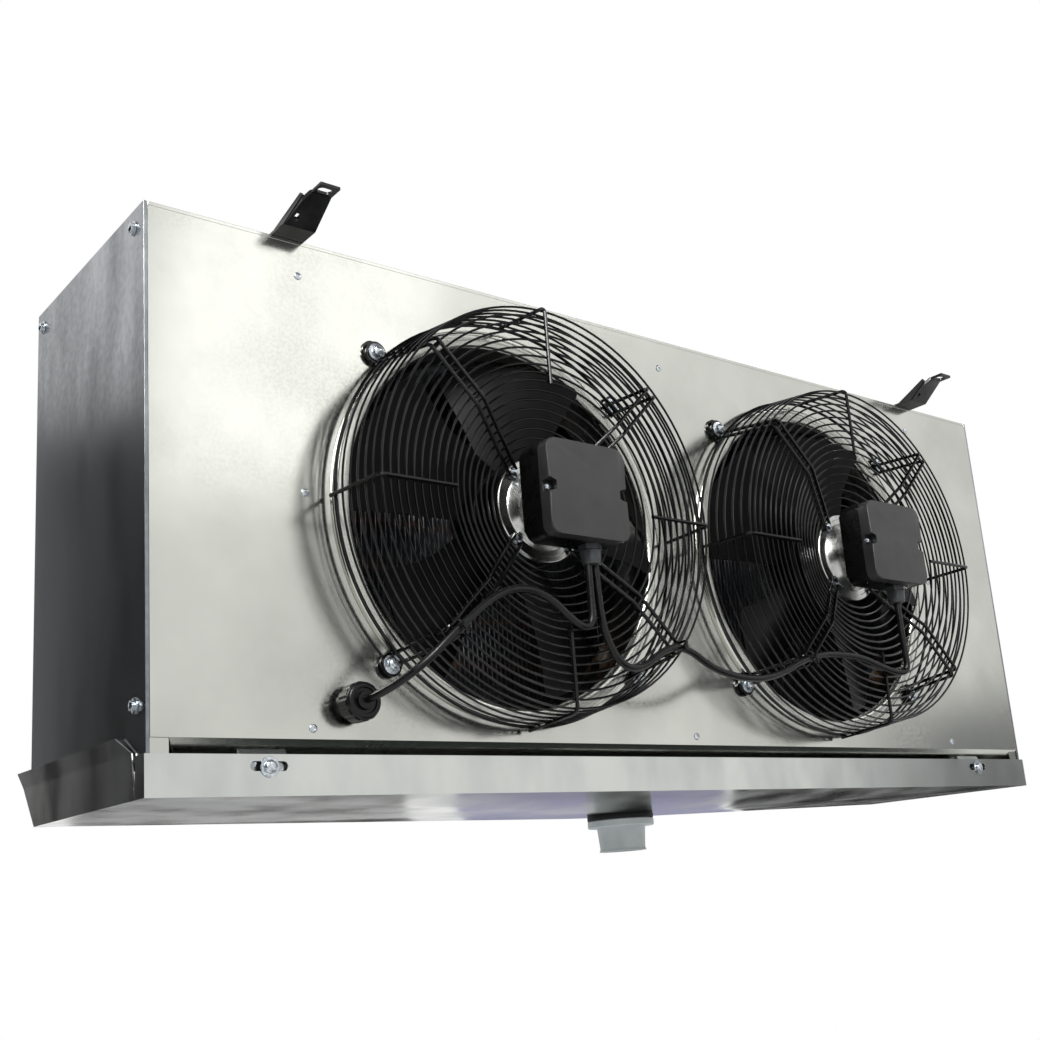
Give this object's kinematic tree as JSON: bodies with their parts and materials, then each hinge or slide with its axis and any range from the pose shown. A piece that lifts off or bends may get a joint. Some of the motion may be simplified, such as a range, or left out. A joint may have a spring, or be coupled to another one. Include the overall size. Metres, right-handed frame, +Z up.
{
  "type": "walk-in unit cooler",
  "caption": "Ceiling-hung evaporator unit cooler with guarded axial fans, junction boxes, cables and a hinged drain pan.",
  "frame": {"origin": "centre of the four ceiling slots, level with the top faces of the hangers", "axes": "+Z up towards the ceiling, +X along the casing to the right seen from the fans, +Y from the fan side towards the coil side"},
  "size_m": [1.2494, 0.448, 0.5845],
  "materials": {
    "bright_sheet": "bright polished sheet",
    "sheet_steel": "mill finish sheet",
    "zinc": "zinc plated",
    "black_steel": "black powder coat",
    "black_wire": "black powder coat",
    "cast_alloy": "turned alloy",
    "black_paint": "satin black paint",
    "black_plastic": "satin moulded plastic",
    "grey_plastic": "satin moulded plastic",
    "black_rubber": "satin rubber",
    "fin_aluminium": "mill finish foil",
    "copper": "bright copper",
    "galvanised": "galvanised sheet"
  },
  "bodies": {
    "casing": {"bell_mouth_left": "bright_sheet", "bell_mouth_right": "bright_sheet", "box_gland_left": "grey_plastic", "box_gland_right": "grey_plastic", "cable_ties": "black_plastic", "coil_end_plate_left": "galvanised", "coil_end_plate_right": "galvanised", "fin_block": "fin_aluminium", "front_panel": "bright_sheet", "guard_bolts_left": "zinc", "guard_bolts_right": "zinc", "guard_braces_left": "black_wire", "guard_braces_right": "black_wire", "guard_front_rings_left": "black_wire", "guard_front_rings_right": "black_wire", "guard_side_rings_left": "black_wire", "guard_side_rings_right": "black_wire", "hanger_front_left": "black_steel", "hanger_front_right": "black_steel", "hanger_rear_left": "black_steel", "hanger_rear_right": "black_steel", "hanger_screws": "zinc", "junction_box_left": "black_plastic", "junction_box_right": "black_plastic", "junction_lid_left": "black_plastic", "junction_lid_right": "black_plastic", "lid_screws_left": "zinc", "lid_screws_right": "zinc", "link_cable": "black_rubber", "liquid_line": "copper", "middle_baffle": "galvanised", "motor_screws_left": "zinc", "motor_screws_right": "zinc", "motor_stator_left": "cast_alloy", "motor_stator_right": "cast_alloy", "pan_catches": "galvanised", "pan_hinge_brackets": "galvanised", "panel_gland": "black_plastic", "panel_rivets": "zinc", "pipe_grommets": "black_rubber", "return_bends_left": "copper", "return_bends_right": "copper", "side_panel_left": "sheet_steel", "side_panel_right": "sheet_steel", "side_panel_screws": "zinc", "suction_header": "copper", "supply_cable": "black_rubber", "top_cover": "bright_sheet"},
    "left_fan": {"impeller_left": "black_paint", "motor_rotor_left": "black_paint", "motor_shaft_left": "zinc"},
    "right_fan": {"impeller_right": "black_paint", "motor_rotor_right": "black_paint", "motor_shaft_right": "zinc"},
    "pan": {"drain_gasket": "black_rubber", "drain_nut": "grey_plastic", "drain_pan": "sheet_steel", "drain_spout": "grey_plastic", "pan_hinge_pins": "zinc", "pan_screws": "zinc"}
  },
  "joints": [
    {"name": "left_fan_spin", "type": "hinge", "parent": "casing", "child": "left_fan", "pos_m": [-0.237, -0.1325, -0.271], "axis": [0, 1, 0], "continuous": true},
    {"name": "right_fan_spin", "type": "hinge", "parent": "casing", "child": "right_fan", "pos_m": [0.221, -0.1325, -0.271], "axis": [0, 1, 0], "continuous": true},
    {"name": "pan_hinge", "type": "hinge", "parent": "casing", "child": "pan", "pos_m": [-0.008, 0.1395, -0.487], "axis": [1, 0, 0], "range_deg": [0, 65]}
  ]
}
